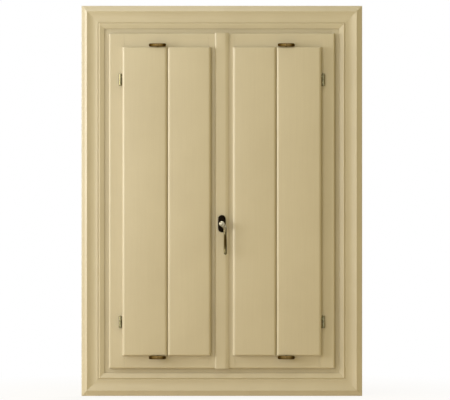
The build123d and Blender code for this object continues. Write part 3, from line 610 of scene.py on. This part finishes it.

# Handle: a drawn oval rosette over its base, and a cast lever with a turned neck, of dark bronze with a
# painted glint on the hub and painted sheen on the crank and tip. The lever leaves the hub to the right and
# then hangs down, swelling towards its round tip.
rosette_low, rosette_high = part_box("right_rosette_cover")
lever_low, lever_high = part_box("handle_lever")
handle_x, _, handle_z = joint_places["handle_turn"]
hub_radius = 9.5 * mm
neck_radius = 8 * mm
lever_y = lever_low.y + neck_radius
lever_offset = 13 * mm
lever_length = handle_z - lever_low.z
lever_swing = 0.17
lever_swing_reach = 0.92
lever_drift = 0.36
lever_drift_reach = 0.09
lever_tip = 0.93
lever_tip_thinnest = 0.0004
lever_widths = [(0, 0.86), (0.08, 0.84), (0.17, 0.72), (0.27, 0.6)]
lever_widths += [(0.36, 0.52), (0.68, 0.57), (0.95, 0.62), (1, 0.62)]
lever_depths = [(0, 0.66), (0.09, 0.6), (0.21, 0.52), (0.36, 0.48), (0.68, 0.52), (0.95, 0.55), (1, 0.55)]
tail_radius = 7 * mm
collar_radius = 9 * mm
collar_gap = 0.3 * mm
collar_depth = 5 * mm
neck_waist = 1.5 * mm
neck_flare = 1 * mm
hub_edge = 3 * mm
hub_crown_radius = 2 * mm
hub_arrises = np.array([0.3, 0.3, 0.3, 2, 3, 3, 2, 4]) * mm
rosette_rim = 5 * mm
rosette_middle = 0.02
rosette_fullness = 6
half_worn = 0.5
rosette_stops = [(0.4, (0.012, 0.008, 0.004)), (0.6, (0.004, 0.002, 0.001))]
# Painted reflections down the lever: a bright glint on the hub, a lighter sheen on the crank, a dark grip and
# a lighter tip.
lever_sheen_stops = [(0.02, (0.42, 0.38, 0.265)), (0.1, (0.2, 0.162, 0.09)), (0.27, (0.17, 0.137, 0.066))]
lever_sheen_stops += [(0.4, (0.034, 0.022, 0.005)), (0.74, (0.034, 0.022, 0.005)), (0.85, (0.125, 0.103, 0.045))]


def down_lever(tree, spot):
    """The distance down from the lever's pivot, as a share of its length, or more on the neck behind."""
    place = shader_node(tree, "SeparateXYZ", {"Vector": spot}).outputs
    down = shader_node(tree, "Math", {0: handle_z, 1: place["Z"]}, operation="SUBTRACT").outputs[0]
    share = shader_node(tree, "Math", {0: down, 1: lever_length}, operation="DIVIDE").outputs[0]
    back = {"Value": place["Y"], "From Min": lever_y, "From Max": lever_y + neck_radius, "To Max": half_worn}
    behind = shader_node(tree, "MapRange", back).outputs["Result"]
    return shader_node(tree, "Math", {0: share, 1: behind}, operation="MAXIMUM").outputs[0]


def evenly_worn(tree, spot):
    """Half worn all over, so that only the patina's clouds show."""
    return half_worn


lever_bronze = aged_bronze("dark_bronze", lever_sheen_stops, down_lever, rough=0.3)
rosette_bronze = aged_bronze("black_bronze", rosette_stops, evenly_worn, rough=0.3)


def rosette_skin():
    """An oval's skin over rings that shrink from its rim onto its middle line: two half circles a straight
    run apart, blended by a hyperbolic tangent, with a quarter round rim."""
    angle = np.linspace(0, 2 * np.pi, 96, endpoint=False)
    radius = (rosette_high.x - rosette_low.x) / 2
    run = (rosette_high.z - rosette_low.z) / 2 - radius
    thick = rosette_high.y - rosette_low.y
    rim = rosette_rim / radius
    turn = np.linspace(0, np.pi / 2, 10)
    flat = np.linspace(1 - rim, rosette_middle, 12)[1:]
    size = np.concatenate([[1], 1 - rim * (1 - np.cos(turn)), flat])
    rise = np.concatenate([[0], 1 - rosette_rim / thick * (1 - np.sin(turn)), np.ones(len(flat))])
    rings = np.empty((len(size), len(angle), 3))
    rings[..., 0] = handle_x + radius * size[:, None] * np.cos(angle)
    spread = run * np.tanh(rosette_fullness * np.sin(angle))
    rings[..., 2] = handle_z + radius * size[:, None] * np.sin(angle) + spread
    rings[..., 1] = rosette_high.y - thick * rise[:, None]
    return rings


def lever_skin():
    """Ellipses along the lever's line, which swings out as a quarter sine, then hangs and drifts out a little
    more. Width and depth narrow past the hub, swell towards the tip and close there as a half ellipse."""
    tip = 1 - lever_tip
    tip_along = lever_tip + tip * np.sin(np.linspace(0, np.pi / 2, 12))
    along = np.concatenate([np.linspace(0, lever_tip, 40), tip_along[1:]])
    out = np.sin(np.pi / 2 * np.minimum(along / lever_swing, 1))
    drift = np.maximum(along - lever_drift, 0) / (1 - lever_drift)
    x = handle_x + lever_offset * (lever_swing_reach * out + lever_drift_reach * drift**2)
    z = handle_z - lever_length * along
    close = np.sqrt(np.clip(1 - (np.maximum(along - lever_tip, 0) / tip) ** 2, lever_tip_thinnest, 1))
    width = hub_radius * np.interp(along, *np.transpose(lever_widths))
    depth = hub_radius * np.interp(along, *np.transpose(lever_depths))
    slope = np.stack([np.gradient(x), np.gradient(z)], 1)
    slope /= np.linalg.norm(slope, axis=1, keepdims=True)
    angle = np.linspace(0, 2 * np.pi, 36, endpoint=False)
    wide = (width * close)[:, None] * np.cos(angle)
    deep = (depth * close)[:, None] * np.sin(angle)
    across = x[:, None] - slope[:, 1:] * wide
    up = z[:, None] + slope[:, :1] * wide
    return np.stack([across, lever_y + deep, up], -1)


hub_profile = [
    (lever_high.y, axis_radius), (lever_high.y, tail_radius), (rosette_low.y - collar_gap, tail_radius),
    (rosette_low.y - collar_gap, collar_radius), (rosette_low.y - collar_depth, neck_radius - neck_waist),
    (lever_y + neck_radius, neck_radius - neck_flare), (lever_y + hub_edge, hub_radius),
    (lever_low.y + hub_edge, hub_radius), (lever_low.y, hub_crown_radius), (lever_low.y, axis_radius),
]
hub_profile = eased(hub_profile, hub_arrises, steps=7, closed=False)
hub = turned((handle_x, 0, handle_z), along_y, hub_profile, around=56)
lever = skin("handle_lever_casting", [hub, lever_skin()])
dress(lever, "handle", "dark_bronze", lever_bronze, "handle_lever")
cover = skin("rosette_drawn_cover", [rosette_skin()])
dress(cover, "right_sash", "dark_bronze", rosette_bronze, "right_rosette_cover")

# Studio: a pale floor that fades into a white background, and warm light from all round. Soft lamps graze
# the window from the left, face it from high and low near the camera, and stand overhead and behind.
floor_half = 3.0
floor_gap = 0.5 * mm
floor_fade = (0.55, 1.6)
floor_z = cad_box[0].z - floor_gap
floor_corners = [(-1, -1), (1, -1), (1, 1), (-1, 1)]
floor_points = [(x * floor_half, y * floor_half, floor_z) for x, y in floor_corners]
floor_mesh = bpy.data.meshes.new("studio_floor")
floor_mesh.from_pydata(floor_points, [], [(0, 1, 2, 3)])
floor = bpy.data.objects.new("studio_floor", floor_mesh)
bpy.context.scene.collection.objects.link(floor)


def seen_directly(tree):
    """One for rays that show the background: from the camera, off gloss or through glass."""
    ray = shader_node(tree, "LightPath", {}).outputs
    plain = {0: ray["Is Camera Ray"], 1: ray["Is Glossy Ray"]}
    shine = shader_node(tree, "Math", plain, operation="MAXIMUM").outputs[0]
    through = {0: shine, 1: ray["Is Transmission Ray"]}
    return shader_node(tree, "Math", through, operation="MAXIMUM").outputs[0]


floor_finish, tree, shader = new_finish("pale_floor")
shader.inputs["Base Color"].default_value = (0.85, 0.74, 0.55, 1)
shader.inputs["Roughness"].default_value = 0.9
spot = shader_node(tree, "TexCoord", {}).outputs["Object"]
reach = shader_node(tree, "VectorMath", {0: spot}, operation="LENGTH").outputs["Value"]
fade = shader_node(
    tree,
    "MapRange",
    {"Value": reach, "From Min": floor_fade[0], "From Max": floor_fade[1], "To Min": 0.88, "To Max": 1.0},
).outputs["Result"]
whiteness = shader_node(tree, "Math", {0: fade, 1: seen_directly(tree)}, operation="MULTIPLY").outputs[0]
white = shader_node(tree, "Emission", {"Color": (1, 1, 1, 1), "Strength": 1.0}).outputs["Emission"]
mixed = shader_node(tree, "MixShader", {0: whiteness, 1: shader.outputs["BSDF"], 2: white})
tree.links.new(mixed.outputs["Shader"], tree.nodes["Material Output"].inputs["Surface"])
floor_mesh.materials.append(floor_finish)

ambient = 0.3
ambient_tint = (1.0, 0.78, 0.08)
world = bpy.data.worlds.new("studio")
world.use_nodes = True
tree = world.node_tree
seen = seen_directly(tree)
strength = shader_node(
    tree, "MapRange", {"Value": seen, "From Min": 0.0, "From Max": 1.0, "To Min": ambient, "To Max": 1.0}
)
tint = colour_ramp(tree, seen, [(0.0, ambient_tint), (1.0, (1, 1, 1))])
tree.links.new(tint, tree.nodes["Background"].inputs["Color"])
tree.links.new(strength.outputs["Result"], tree.nodes["Background"].inputs["Strength"])
bpy.context.scene.world = world

lamp_aim = Vector((0.0, 0.0, casing_height / 2))


def soft_lamp(name, azimuth, elevation, distance, size, power):
    """A square lamp that faces the window's middle, from the left by an azimuth and up by an elevation."""
    round_by, up_by = radians(azimuth), radians(elevation)
    level = distance * np.cos(up_by)
    away = Vector((-level * np.sin(round_by), -level * np.cos(round_by), distance * np.sin(up_by)))
    data = bpy.data.lights.new(name, "AREA")
    data.shape = "SQUARE"
    data.size = size
    data.energy = power
    lamp = bpy.data.objects.new(name, data)
    lamp.location = lamp_aim + away
    lamp.rotation_euler = (-away).to_track_quat("-Z", "Y").to_euler()
    bpy.context.scene.collection.objects.link(lamp)


soft_lamp("grazing_lamp", azimuth=68, elevation=9, distance=4.6, size=2.2, power=137)
soft_lamp("front_lamp", azimuth=18, elevation=16, distance=5.6, size=3.0, power=31)
soft_lamp("low_lamp", azimuth=22, elevation=-3, distance=5.0, size=2.0, power=27)
soft_lamp("overhead_lamp", azimuth=10, elevation=58, distance=5.0, size=2.0, power=51)
soft_lamp("back_lamp", azimuth=205, elevation=38, distance=6.0, size=3.0, power=190)

# Camera: straight on and far off, as the picture is nearly without perspective. The window stands a little
# left of the picture's middle, and a pixel is 3.6 mm on it.
sensor_width = 36
picture_width_px = 450
mm_per_px = 3.6
object_middle_px = (221.85, 200.87)
picture_middle_px = (225, 200)
camera_distance = 12.0
camera_data = bpy.data.cameras.new("camera")
camera_data.sensor_width = sensor_width
camera_data.lens = sensor_width * camera_distance / (picture_width_px * mm_per_px * mm)
camera = bpy.data.objects.new("camera", camera_data)
camera.location = (
    (picture_middle_px[0] - object_middle_px[0]) * mm_per_px * mm,
    -camera_distance,
    casing_height / 2 + (object_middle_px[1] - picture_middle_px[1]) * mm_per_px * mm,
)
camera.rotation_euler = (radians(90), 0, 0)
bpy.context.scene.collection.objects.link(camera)
bpy.context.scene.camera = camera
bpy.context.scene.view_settings.view_transform = "Standard"
